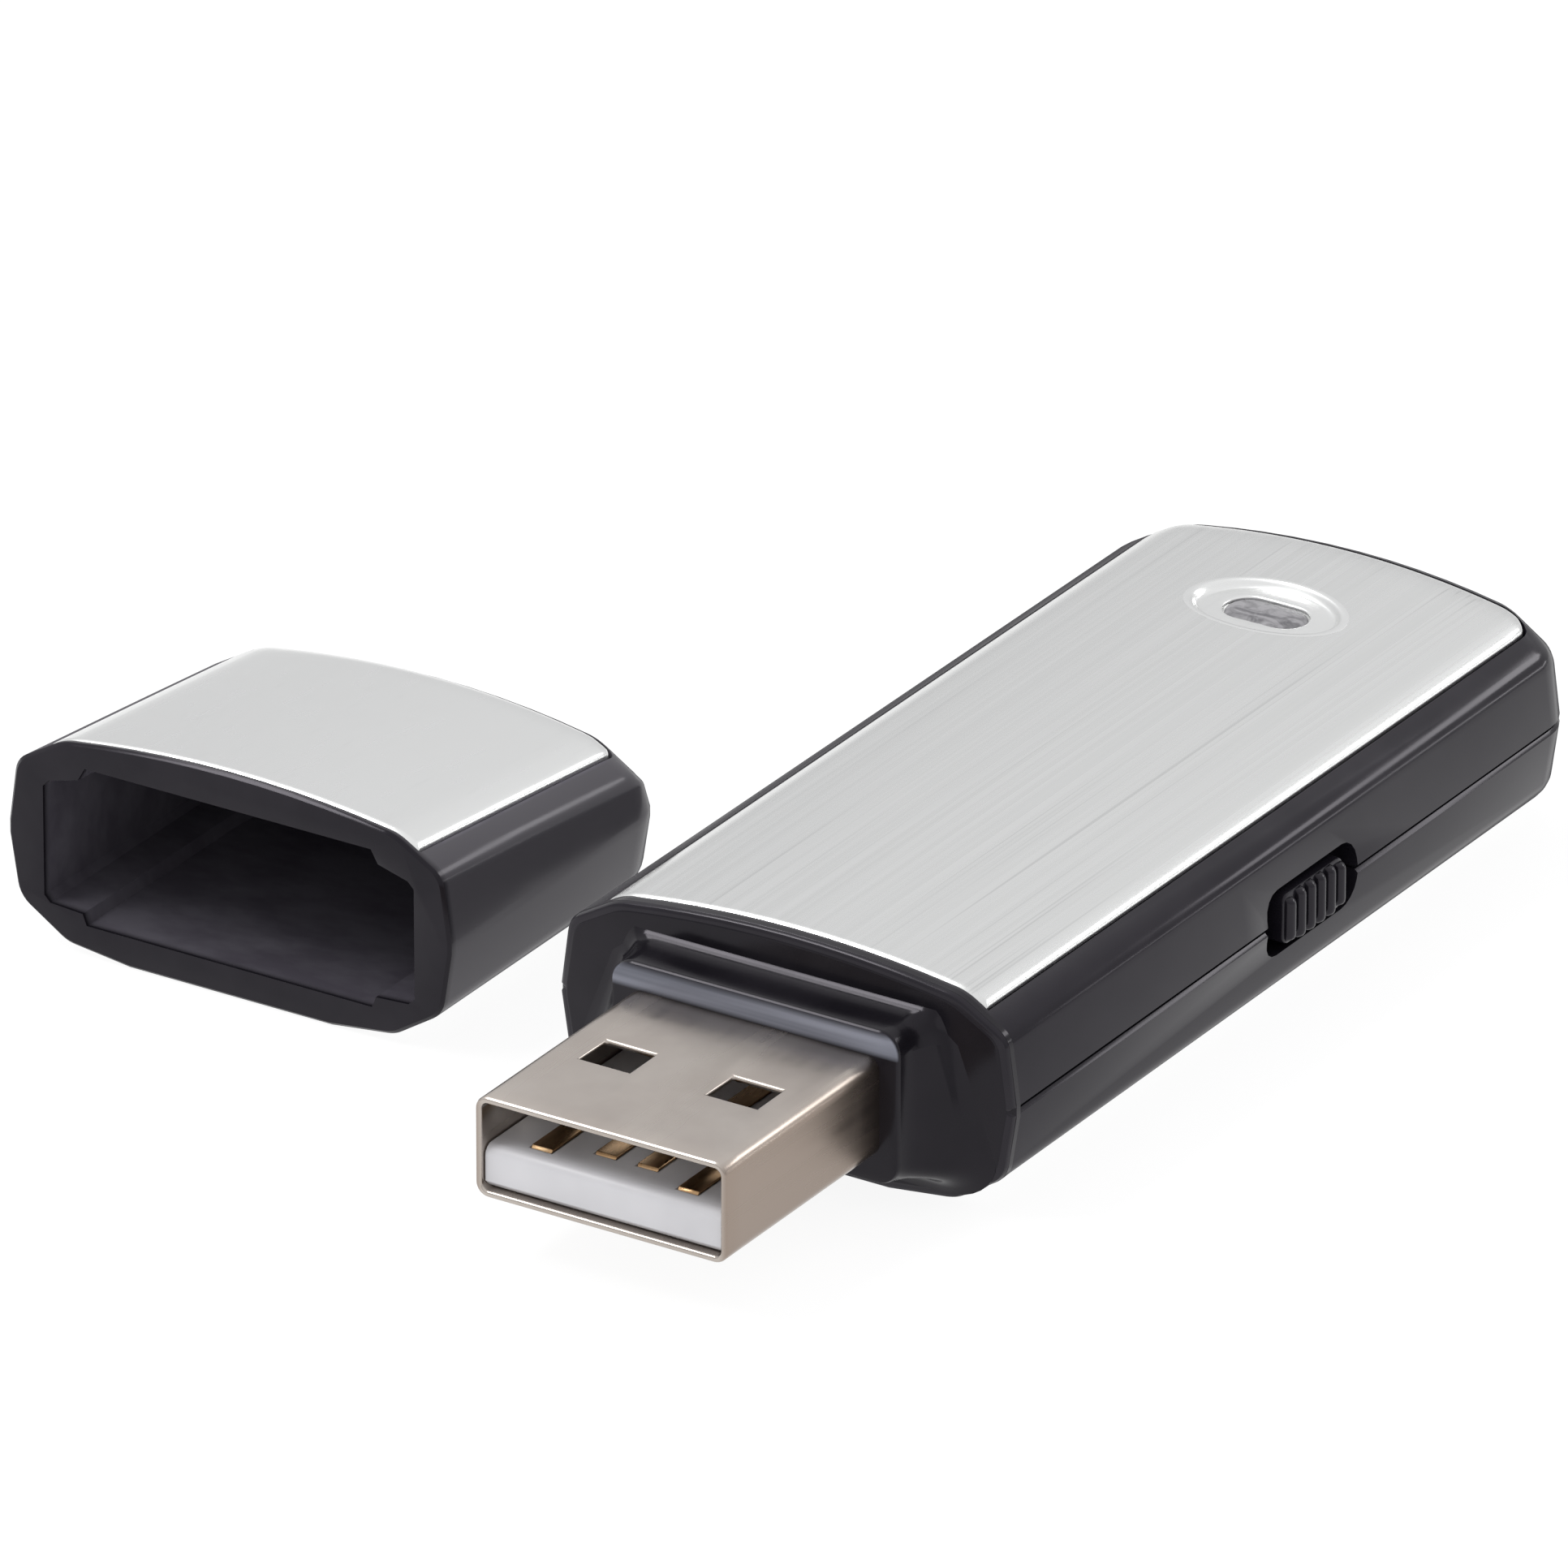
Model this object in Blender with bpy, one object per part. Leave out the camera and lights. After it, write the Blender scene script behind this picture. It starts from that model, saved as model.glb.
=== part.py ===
"""USB flash drive with a slide switch on its side and a pull-off cap, piece by piece.

Lengths below are in millimetres and are turned into metres as each mesh is made.
The drive lies flat along Y, with its plug towards -Y and its switch on the +X side.
The origin is the middle of the drive's underside, so the table is at Z = 0. The cap
lies beside the drive, open end forward, as it does once it has been pulled off.
"""

from math import cos, hypot, pi, radians, sin, sqrt, tan

import bmesh
import bpy
from mathutils import Matrix, Vector

MM = 0.001
COLLECTION = "usb_flash_drive"

# ---- driving sizes --------------------------------------------------------------
LENGTH = 45.2        # case, from its front face to the middle of its far end
HALF_W = 10.9        # case, half its width at the fattest place
TOP_H = 5.2          # above the seam, at the front face
BOTTOM_H = 5.0       # below the seam
TOP_FALL = 0.2       # how much lower the top is at the far end
END_R = 2.4          # length of the rounding of the far end
END_SIDE = 2.1       # how far that rounding draws the sides in
END_FACE = 0.9       # how far it draws the top and bottom in
END_BOW = 0.5        # the far end's sag from its middle to its sides
WALL = 1.5           # case wall

PLATE_T = 0.5        # aluminium plates
PLATE_HALF = 9.2     # half the plate's width, over the shoulders
PLATE_FRONT = 0.8    # plastic rim between the front face and the plate
PLATE_BACK = 0.9     # the same at the far end
PLATE_CORNER = 1.0
PLATE_CHAMFER = 0.12

SEAM_GAP = 0.1       # between the two halves of the case
FIT = 0.06           # clearance of a part set into a recess
EDGE = 0.22          # bevel on the plastic's front edges

PLUG_W, PLUG_H, PLUG_T = 12.0, 4.5, 0.3      # standard-A plug shell
PLUG_OUT = 11.5      # shell in front of the collar
PLUG_IN = 4.4        # shell behind the front face
PLUG_Z = -0.05       # its centre, from the seam
TONGUE_T = 1.88

COLLAR_OUT = 2.35    # the collar, in front of the front face
COLLAR_HALF = 6.9
COLLAR_TOP, COLLAR_BOTTOM = 3.4, -3.5        # from the seam

BOARD_T = 0.8
BOARD_HALF = 8.4

SLOT_Y = 23.3        # switch slot, from the front face to its middle
SLOT_L, SLOT_H = 7.1, 3.0
SLOT_CORNER = 1.0
KNOB_L, KNOB_H = 4.7, 2.3
KNOB_END_GAP = 0.3   # left at each end of its travel
KNOB_TRAVEL = SLOT_L - KNOB_L - 2 * KNOB_END_GAP   # it rests in the middle of this
KNOB_RIBS = 6

WINDOW_Y = 37.4      # status light, from the front face
WINDOW_L, WINDOW_W = 3.9, 2.2
DISH_L, DISH_W, DISH_DEEP = 7.0, 4.8, 0.3

CAP_L = 16.2
CAP_DEPTH = 14.1
CAP_FALL = 1.7
CAP_END_R = 1.7      # length of the rounding of its closed end
CAP_END_SIDE = 0.45   # how far that rounding draws the sides in
CAP_PLATE_BACK = 0.6
CAP_PLATE_CORNER = 0.6
CAP_PLATE_FRONT = 0.4
CAP_X, CAP_SET_BACK = -27.4, 0.4     # where the cap lies beside the drive

# The right half of the section, from the middle of the top to the middle of the
# bottom, as (x, z, corner radius). The top is crowned, the bottom is flat in the middle.
CROWN_END = (7.6, 4.64)
SECTION_TOP = [(8.2, 4.56, 2.5), (10.5, 3.2, 1.1)]
SECTION_BOTTOM = [(10.45, -3.1, 1.3), (8.1, -4.62, 1.6)]
FLAT_HALF = 5.0
SHOULDER_Z = 3.0     # the top's fall is taken up by the side below this height

MATERIALS = {
    "case_plastic": ((0.035, 0.034, 0.038), 0.22, 0.0),
    "aluminium": ((0.80, 0.80, 0.79), 0.30, 1.0),
    "plug_steel": ((0.66, 0.63, 0.60), 0.24, 1.0),
    "white_plastic": ((0.80, 0.80, 0.82), 0.45, 0.0),
    "contact_gold": ((0.78, 0.57, 0.30), 0.25, 1.0),
    "board_green": ((0.03, 0.20, 0.09), 0.45, 0.0),
    "chip_black": ((0.03, 0.03, 0.03), 0.50, 0.0),
    "window_grey": ((0.45, 0.45, 0.47), 0.25, 0.0),
    "ceramic": ((0.55, 0.42, 0.30), 0.50, 0.0),
}


# ---- small helpers ----------------------------------------------------------------
def clear_scene():
    for item in list(bpy.data.objects):
        bpy.data.objects.remove(item, do_unlink=True)


def collection(name):
    made = bpy.data.collections.new(name)
    bpy.context.scene.collection.children.link(made)
    return made


def material(name):
    made = bpy.data.materials.get(name)
    if made is None:
        colour, roughness, metallic = MATERIALS[name]
        made = bpy.data.materials.new(name)
        made.use_nodes = True
        shader = made.node_tree.nodes["Principled BSDF"]
        shader.inputs["Base Color"].default_value = (*colour, 1.0)
        shader.inputs["Roughness"].default_value = roughness
        shader.inputs["Metallic"].default_value = metallic
        made.diffuse_color = (*colour, 1.0)
    return made


def finish_mesh(name, verts, faces, group, material_name=None, place=None):
    """One closed mesh object, in metres, with its faces turned outward."""
    bm = bmesh.new()
    made = [bm.verts.new(Vector(v) * MM) for v in verts]
    for face in faces:
        bm.faces.new([made[i] for i in face])
    if place is not None:
        bm.transform(place)
    bmesh.ops.remove_doubles(bm, verts=bm.verts, dist=1e-7)
    bmesh.ops.recalc_face_normals(bm, faces=bm.faces)
    mesh = bpy.data.meshes.new(name)
    bm.to_mesh(mesh)
    bm.free()
    item = bpy.data.objects.new(name, mesh)
    group.objects.link(item)
    if material_name:
        mesh.materials.append(material(material_name))
    return item


def loft(name, rings, group, material_name=None, place=None):
    """A closed body through rings of equal length, with a face over each end."""
    n = len(rings[0])
    verts = [p for ring in rings for p in ring]
    faces = [tuple(range(n)), tuple(range((len(rings) - 1) * n, len(rings) * n))]
    for r in range(len(rings) - 1):
        for i in range(n):
            j = (i + 1) % n
            faces.append((r * n + i, r * n + j, (r + 1) * n + j, (r + 1) * n + i))
    return finish_mesh(name, verts, faces, group, material_name, place)


def sheet(name, rows, group, material_name=None, place=None):
    """A closed body from rows of (outer point, inner point) pairs, such as a bent plate."""
    n, m = len(rows), len(rows[0])
    verts = [pair[side] for side in (0, 1) for row in rows for pair in row]

    def at(side, r, c):
        return side * n * m + r * m + c

    faces = []
    for r in range(n - 1):
        for c in range(m - 1):
            for side in (0, 1):
                faces.append((at(side, r, c), at(side, r, c + 1), at(side, r + 1, c + 1), at(side, r + 1, c)))
    for r in range(n - 1):
        for c in (0, m - 1):
            faces.append((at(0, r, c), at(0, r + 1, c), at(1, r + 1, c), at(1, r, c)))
    for c in range(m - 1):
        for r in (0, n - 1):
            faces.append((at(0, r, c), at(0, r, c + 1), at(1, r, c + 1), at(1, r, c)))
    return finish_mesh(name, verts, faces, group, material_name, place)


def rounded(corners, steps=5):
    """A run of points with each (x, y, radius) corner turned into an arc; the ends stay sharp."""
    out = []
    for i, (x, y, r) in enumerate(corners):
        here = Vector((x, y))
        if r == 0 or i in (0, len(corners) - 1):
            out.append((x, y))
            continue
        a = (Vector(corners[i - 1][:2]) - here).normalized()
        b = (Vector(corners[i + 1][:2]) - here).normalized()
        half = a.angle(b) / 2
        centre = here + (a + b).normalized() * (r / sin(half))
        start, end = here + a * (r / tan(half)), here + b * (r / tan(half))
        for k in range(steps + 1):
            spoke = (start - centre).lerp(end - centre, k / steps).normalized()
            out.append(tuple(centre + spoke * r))
    return out


def rounded_box(half_x, low_z, high_z, r, steps=4):
    """A rectangle with rounded corners, as a ring of (x, z)."""
    ring = []
    for cx, cz, turn in (
        (half_x - r, high_z - r, 0), (-half_x + r, high_z - r, 90),
        (-half_x + r, low_z + r, 180), (half_x - r, low_z + r, 270),
    ):
        for k in range(steps + 1):
            a = radians(turn + 90 * k / steps)
            ring.append((cx + r * cos(a), cz + r * sin(a)))
    return ring


def stadium(length, width, steps=10):
    """A slot with round ends, along its first axis."""
    r, run = width / 2, (length - width) / 2
    ring = []
    for side, turn in ((run, -90), (-run, 90)):
        for k in range(steps + 1):
            a = radians(turn + 180 * k / steps)
            ring.append((side + r * cos(a), r * sin(a)))
    return ring


def box(name, low, high, group, material_name=None, place=None, bevel=0.0):
    """A block, with its four edges along Z cut off by bevel."""
    x0, y0, z0 = low
    x1, y1, z1 = high
    b = bevel
    if b:
        ring = [(x0 + b, y0), (x1 - b, y0), (x1, y0 + b), (x1, y1 - b), (x1 - b, y1), (x0 + b, y1), (x0, y1 - b), (x0, y0 + b)]
    else:
        ring = [(x0, y0), (x1, y0), (x1, y1), (x0, y1)]
    return loft(name, [[(x, y, z) for x, y in ring] for z in (z0, z1)], group, material_name, place)


def cut(item, cutter, operation="DIFFERENCE"):
    """Cuts one body with another, exactly. The cutter stays out of the render."""
    cutter.hide_render = True
    cutter.display_type = "WIRE"
    made = item.modifiers.new(cutter.name, "BOOLEAN")
    made.operation = operation
    made.solver = "EXACT"
    made.object = cutter


# ---- the section that the case and the cap share --------------------------------
def crown(x):
    """Height of the crowned top at x."""
    radius = (CROWN_END[0] ** 2 + (TOP_H - CROWN_END[1]) ** 2) / (2 * (TOP_H - CROWN_END[1]))
    return TOP_H - radius + sqrt(radius**2 - x**2)


def half_section(top):
    """The right half of the section from the middle of the top, or bottom, to the seam."""
    if top:
        run = [(x, crown(x), 0) for x in (0.0, 1.6, 3.2, 4.8, 6.2)] + [(*CROWN_END, 0)]
        run += SECTION_TOP + [(HALF_W, 0.3, 0)]
    else:
        run = [(0.0, -BOTTOM_H, 0), (FLAT_HALF, -BOTTOM_H, 0)]
        run += list(reversed(SECTION_BOTTOM)) + [(HALF_W, -0.3, 0)]
    return rounded(run)


def skin(x, top):
    """The point of the section's outside at x, and its outward normal."""
    run = half_section(top)
    side = 1 if x >= 0 else -1
    for (x0, z0), (x1, z1) in zip(run, run[1:]):
        if x0 <= abs(x) <= x1 and x1 > x0:
            f = (abs(x) - x0) / (x1 - x0)
            edge = Vector((x1 - x0, z1 - z0)).normalized()
            normal = Vector((-edge.y, edge.x)) if top else Vector((edge.y, -edge.x))
            return Vector((x, z0 + (z1 - z0) * f)), Vector((side * normal.x, normal.y))
    raise ValueError(x)


def shaped(x, y, z, length, fall):
    """Carries a point of the straight bar onto the real one: far end rounded and bowed, top falling."""
    end_r, end_side = (CAP_END_R, CAP_END_SIDE) if length == CAP_L else (END_R, END_SIDE)
    t = min(max((y - (length - end_r)) / end_r, 0.0), 1.0)
    draw = 1 - sqrt(1 - t * t)
    z *= 1 - draw * END_FACE / TOP_H
    x *= 1 - draw * end_side / HALF_W
    z -= fall * y / length * min(max(z / SHOULDER_Z, 0.0), 1.0)
    late = max(0.0, (y - length * 0.4) / (length * 0.6))
    return x, y - END_BOW * late**2 * (x / HALF_W) ** 2, z


def stations(length):
    """Where the rings stand along Y: close together round the far end."""
    end_r = CAP_END_R if length == CAP_L else END_R
    ends = [length - end_r * (1 - sin(radians(a))) for a in (0, 12, 24, 36, 48, 60, 72, 84, 90)]
    run = [length * f for f in (0.4, 0.55, 0.7, 0.82)]
    return [y for y in run if y < ends[0] - 0.5] + ends


def half_ring(top, shrink=0.0):
    """The closed ring of one half of the case, with a small groove bevel at the seam."""
    sign = 1 if top else -1
    right = half_section(top)
    groove = [(HALF_W, sign * (SEAM_GAP / 2 + 0.14)), (HALF_W - 0.14, sign * SEAM_GAP / 2)]
    right = right[:-1] + groove
    ring = right + [(-x, z) for x, z in reversed(right) if x > 0]
    f_x, f_z = 1 - shrink / HALF_W, 1 - shrink / TOP_H
    return [(x * f_x, z * f_z if abs(z) > SEAM_GAP / 2 else z) for x, z in ring]


def case_half(name, top, group, length, fall, place):
    rings = []
    for y, shrink in [(0.0, EDGE), (0.3 * EDGE, 0.3 * EDGE), (EDGE, 0.0)] + [(y, 0.0) for y in stations(length)]:
        rings.append([shaped(x, y, z, length, fall) for x, z in half_ring(top, shrink)])
    return loft(name, rings, group, "case_plastic", place)


def plate_rows(top, length, fall, front, outside, depth, grow, chamfer):
    """Rows of a plate over the section, or of the recess for it when grown a little.

    outside lifts the outer face clear of the skin; depth is how far the inner face lies under it."""
    back = CAP_PLATE_BACK if length == CAP_L else PLATE_BACK
    half, y0, y1 = PLATE_HALF + grow, front - grow, length - back + grow
    r = CAP_PLATE_CORNER if length == CAP_L else PLATE_CORNER
    ys = [(y0, True), (y0 + max(chamfer, 0.12), False), (y0 + 0.8, False)]
    ys += [(y, False) for y in stations(length) if y0 + 1.5 < y < y1 - r - 0.2]
    turn = [y1 - r * (1 - sin(radians(a))) for a in (0, 22, 45, 62, 77)]
    ys += [(y, False) for y in turn] + [(y1, True)]
    c = 0.12 / half
    shares = [-1.0, -1 + c, -0.97, -0.93, -0.88, -0.83, -0.78, -0.73, -0.62, -0.48, -0.32, -0.16]
    shares = shares + [0.0] + [-s for s in reversed(shares)]
    rows = []
    for y, end in ys:
        into = max(0.0, (y - (y1 - r)) / r)
        reach = half - r * (1 - sqrt(max(0.0, 1 - into * into)))
        row = []
        for k, s in enumerate(shares):
            p, n = skin(s * reach, top)
            low = chamfer if (end or k in (0, len(shares) - 1)) else 0.0
            o, i = p + n * (outside - low), p - n * depth
            row.append((shaped(o.x, y, o.y, length, fall), shaped(i.x, y, i.y, length, fall)))
        rows.append(row)
    return rows


def plate(name, top, group, length, fall, front, place):
    return sheet(name, plate_rows(top, length, fall, front, 0.0, PLATE_T, 0.0, PLATE_CHAMFER), group, "aluminium", place)


def plate_recess(name, top, group, length, fall, front, place):
    return sheet(name, plate_rows(top, length, fall, front, 1.0, PLATE_T + FIT, FIT, 0.0), group, None, place)


# ---- the drive ----------------------------------------------------------------------
def build_drive(parts, cutters):
    place = Matrix.Translation(Vector((0.0, -LENGTH / 2, BOTTOM_H)) * MM)

    def prism_y(name, ring, y0, y1, group, material_name=None):
        return loft(name, [[(x, y, z) for x, z in ring] for y in (y0, y1)], group, material_name, place)

    upper = case_half("upper_case", True, parts, LENGTH, TOP_FALL, place)
    lower = case_half("lower_case", False, parts, LENGTH, 0.0, place)

    def pocket(name, top):
        """The hollow of one half: the section drawn in by the wall, and open at the seam."""
        sign = 1 if top else -1
        reach = (TOP_H if top else BOTTOM_H) - WALL - PLATE_T
        half = HALF_W - WALL - 0.1
        ring = [(half, -sign * 1.0), (half, sign * (reach - 0.8)), (half - 1.3, sign * reach)]
        ring += [(-x, z) for x, z in reversed(ring)]
        far = LENGTH - WALL
        rings = []
        for y, f in ((WALL, 1.0), (far - 3.0, 1.0), (far - 1.0, 0.93), (far, 0.80)):
            rings.append([(x * f, y, z - (TOP_FALL * y / LENGTH if z > 0 and top else 0.0)) for x, z in ring])
        return loft(name, rings, cutters, None, place)

    collar_ring = rounded_box(COLLAR_HALF, COLLAR_BOTTOM, COLLAR_TOP, 0.7)
    hole_ring = rounded_box(COLLAR_HALF + FIT, COLLAR_BOTTOM - FIT, COLLAR_TOP + FIT, 0.7 + FIT)
    slot_ring = rounded_box(SLOT_L / 2, -SLOT_H / 2, SLOT_H / 2, SLOT_CORNER)
    window_hole = stadium(WINDOW_L, WINDOW_W)

    for item, top in ((upper, True), (lower, False)):
        cut(item, plate_recess(item.name + "_recess", top, cutters, LENGTH, TOP_FALL if top else 0.0, PLATE_FRONT, place))
        cut(item, pocket(item.name + "_hollow", top))
        cut(item, prism_y(item.name + "_collar_hole", hole_ring, -1.0, WALL + 0.5, cutters))
        slot = loft(item.name + "_slot", [[(x, SLOT_Y + u, v) for u, v in slot_ring] for x in (HALF_W - WALL - 1.0, HALF_W + 1.0)], cutters, None, place)
        cut(item, slot)
    cut(upper, loft("window_hole", [[(u, WINDOW_Y + v, z) for u, v in window_hole] for z in (1.0, 6.0)], cutters, None, place))

    top_plate = plate("top_plate", True, parts, LENGTH, TOP_FALL, PLATE_FRONT, place)
    plate("bottom_plate", False, parts, LENGTH, 0.0, PLATE_FRONT, place)

    # the oval dish round the status light, and the slot in its floor
    surface = TOP_H - TOP_FALL * WINDOW_Y / LENGTH
    rise, tall = 0.7, 0.7 + DISH_DEEP
    spread = sqrt(1 - (rise / tall) ** 2)
    bm = bmesh.new()
    bmesh.ops.create_uvsphere(bm, u_segments=56, v_segments=40, radius=1.0)
    bmesh.ops.transform(bm, verts=bm.verts, matrix=Matrix.Diagonal((DISH_L / 2 / spread, DISH_W / 2 / spread, tall, 1.0)))
    bmesh.ops.translate(bm, verts=bm.verts, vec=(0.0, WINDOW_Y, surface + rise))
    bmesh.ops.scale(bm, verts=bm.verts, vec=(MM, MM, MM))
    bm.transform(place)
    mesh = bpy.data.meshes.new("dish")
    bm.to_mesh(mesh)
    bm.free()
    dish = bpy.data.objects.new("dish", mesh)
    cutters.objects.link(dish)
    cut(top_plate, dish)
    cut(top_plate, loft("window_slot", [[(u, WINDOW_Y + v, z) for u, v in window_hole] for z in (3.0, 6.0)], cutters, None, place))
    guide = stadium(WINDOW_L - 2 * FIT, WINDOW_W - 2 * FIT)
    inner = stadium(WINDOW_L - 0.5, WINDOW_W - 0.5)
    window_top = surface - DISH_DEEP - 0.05
    rings = [(guide, 0.65), (guide, window_top - 0.12), (inner, window_top)]
    loft("status_window", [[(u, WINDOW_Y + v, z) for u, v in ring] for ring, z in rings], parts, "window_grey", place)

    # ---- plug ----
    plug_half_w, plug_half_h = PLUG_W / 2, PLUG_H / 2
    tip, tail = -COLLAR_OUT - PLUG_OUT, PLUG_IN
    low, high = PLUG_Z - plug_half_h, PLUG_Z + plug_half_h

    nose = rounded_box(COLLAR_HALF - 0.15, COLLAR_BOTTOM + 0.15, COLLAR_TOP - 0.15, 0.6)
    rings = [[(x, -COLLAR_OUT, z) for x, z in nose]]
    rings += [[(x, y, z) for x, z in collar_ring] for y in (-COLLAR_OUT + 0.15, WALL + 0.4)]
    collar = loft("plug_collar", rings, parts, "case_plastic", place)
    cut(collar, box("collar_flange", (-COLLAR_HALF - 1.0, WALL + FIT, -2.2), (COLLAR_HALF + 1.0, WALL + 1.0, 2.4), cutters, None, place), "UNION")
    cut(collar, prism_y("plug_hole", rounded_box(plug_half_w + 0.03, low - 0.03, high + 0.03, 0.63), -4.0, 6.0, cutters))

    outer = rounded_box(plug_half_w, low, high, 0.6, 5)
    lip = rounded_box(plug_half_w - 0.1, low + 0.1, high - 0.1, 0.5, 5)
    bore = rounded_box(plug_half_w - PLUG_T, low + PLUG_T, high - PLUG_T, 0.12, 5)
    shell = loft("plug_shell", [[(x, tip, z) for x, z in lip], [(x, tip + 0.12, z) for x, z in outer], [(x, tail, z) for x, z in outer]], parts, "plug_steel", place)
    cut(shell, prism_y("plug_bore", bore, tip - 1, tail + 1, cutters))
    for k, x in enumerate((-3.04, 3.04)):
        y = tip + 6.05
        ring = [(x + u, y + v) for u, v in rounded_box(1.2, -1.0, 1.0, 0.18, 3)]
        cut(shell, loft(f"latch_window_{k + 1}", [[(u, v, z) for u, v in ring] for z in (low - 1, high + 1)], cutters, None, place))

    tongue_low = low + PLUG_T + 0.05
    tongue_top = tongue_low + TONGUE_T
    profile = rounded([(tip + 0.2, tongue_low + 0.3, 0), (tip + 0.2, tongue_top, 0.45), (tail - 0.1, tongue_top, 0)], 4)
    profile = [(tip + 0.5, tongue_low)] + profile + [(tail - 0.1, tongue_low)]
    half = plug_half_w - PLUG_T - 0.06
    tongue = loft("plug_tongue", [[(x, y, z) for y, z in profile] for x in (-half, half)], parts, "white_plastic", place)
    block = box("tongue_block", (-half, -COLLAR_OUT - 0.4, tongue_top - 0.3), (half, tail - 0.1, high - PLUG_T - 0.05), cutters, None, place, 0.25)
    cut(tongue, block, "UNION")

    contact_z = tongue_top + 0.02
    for name, x, back in (("power", -3.5, 0.85), ("data_minus", -1.0, 1.75), ("data_plus", 1.0, 1.75), ("ground", 3.5, 0.85)):
        y0 = tip + 0.2 + back
        cut(tongue, box(f"channel_{name}", (x - 0.56, y0 - 0.06, contact_z - 0.12), (x + 0.56, tail + 1, contact_z + 0.16), cutters, None, place))
        run = [(y0, contact_z - 0.06), (y0 + 0.1, contact_z + 0.08), (tail + 1.8, contact_z + 0.08), (tail + 1.8, contact_z - 0.06)]
        loft(f"contact_{name}", [[(x + u, y, z) for y, z in run] for u in (-0.5, 0.5)], parts, "contact_gold", place)

    # ---- circuit board ----
    board_top = contact_z - 0.1
    board_low = board_top - BOARD_T
    box("circuit_board", (-BOARD_HALF, tail + 0.3, board_low), (BOARD_HALF, LENGTH - 4.2, board_top), parts, "board_green", place, 0.8)
    on, under = board_top + 0.03, board_low - 0.03
    box("controller_chip", (-5.2, 10.5, on), (1.8, 17.5, on + 1.4), parts, "chip_black", place, 0.5)
    box("memory_chip", (-6.0, 12.0, under - 1.0), (6.0, 30.4, under), parts, "chip_black", place, 0.3)
    box("crystal", (-5.0, 20.2, on), (-0.0, 23.4, on + 1.0), parts, "plug_steel", place, 0.4)
    box("status_led", (-0.8, WINDOW_Y - 0.4, on), (0.8, WINDOW_Y + 0.4, on + 0.6), parts, "white_plastic", place)
    box("capacitor_1", (3.6, 8.2, on), (5.6, 9.45, on + 1.0), parts, "ceramic", place)
    box("capacitor_2", (3.6, 10.6, on), (5.6, 11.85, on + 1.0), parts, "ceramic", place)
    box("resistor_1", (-4.0, 27.0, on), (-2.0, 28.25, on + 0.5), parts, "chip_black", place)
    box("resistor_2", (-4.0, 30.0, on), (-2.0, 31.25, on + 0.5), parts, "chip_black", place)

    # ---- slide switch: housing and lever on the board, knob in the slot ----
    knob_mid = SLOT_Y
    knob_y0, knob_y1 = knob_mid - KNOB_L / 2, knob_mid + KNOB_L / 2
    lever_low, lever_high, lever_half = 0.25, 0.75, 0.65
    housing = box("switch_housing", (5.4, knob_mid - 3.35, on), (8.0, knob_mid + 3.35, on + 1.4), parts, "chip_black", place)
    reach = lever_half + KNOB_TRAVEL / 2 + 0.1
    cut(housing, box("lever_slot", (6.3, knob_mid - reach, lever_low - 0.08), (9.0, knob_mid + reach, lever_high + 0.08), cutters, None, place))
    inner_x = HALF_W - WALL - 0.1
    box("switch_lever", (6.4, knob_mid - lever_half, lever_low), (inner_x + 0.2, knob_mid + lever_half, lever_high), parts, "white_plastic", place)

    face_x, groove = HALF_W + 0.35, 0.3
    pitch = KNOB_L / (2 * KNOB_RIBS - 1)
    outline = [(inner_x - 0.05, knob_y0), (face_x - groove, knob_y0)]
    for k in range(KNOB_RIBS):
        a, b = knob_y0 + 2 * k * pitch, knob_y0 + (2 * k + 1) * pitch
        if k:
            outline.append((face_x - groove, a))
        outline += [(face_x - 0.06, a + 0.03), (face_x, a + 0.12), (face_x, b - 0.12), (face_x - 0.06, b - 0.03)]
        if k < KNOB_RIBS - 1:
            outline.append((face_x - groove, b))
    outline += [(face_x - groove, knob_y1), (inner_x - 0.05, knob_y1)]
    knob = loft("switch_knob", [[(x, y, z) for x, y in outline] for z in (-KNOB_H / 2, KNOB_H / 2)], parts, "case_plastic", place)
    flange = box("knob_flange", (inner_x - 0.75, knob_y0 - 2.3, -2.1), (inner_x - 0.1, knob_y1 + 2.3, 1.9), cutters, None, place)
    stem = box("knob_stem", (inner_x - 0.3, knob_y0 + 0.3, -0.9), (inner_x + 0.3, knob_y1 - 0.3, 0.9), cutters, None, place)
    cut(knob, stem, "UNION")
    cut(knob, flange, "UNION")
    cut(knob, box("lever_pocket", (inner_x - 2.0, knob_mid - lever_half - 0.04, lever_low - 0.06), (inner_x + 0.35, knob_mid + lever_half + 0.04, lever_high + 0.06), cutters, None, place))


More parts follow.
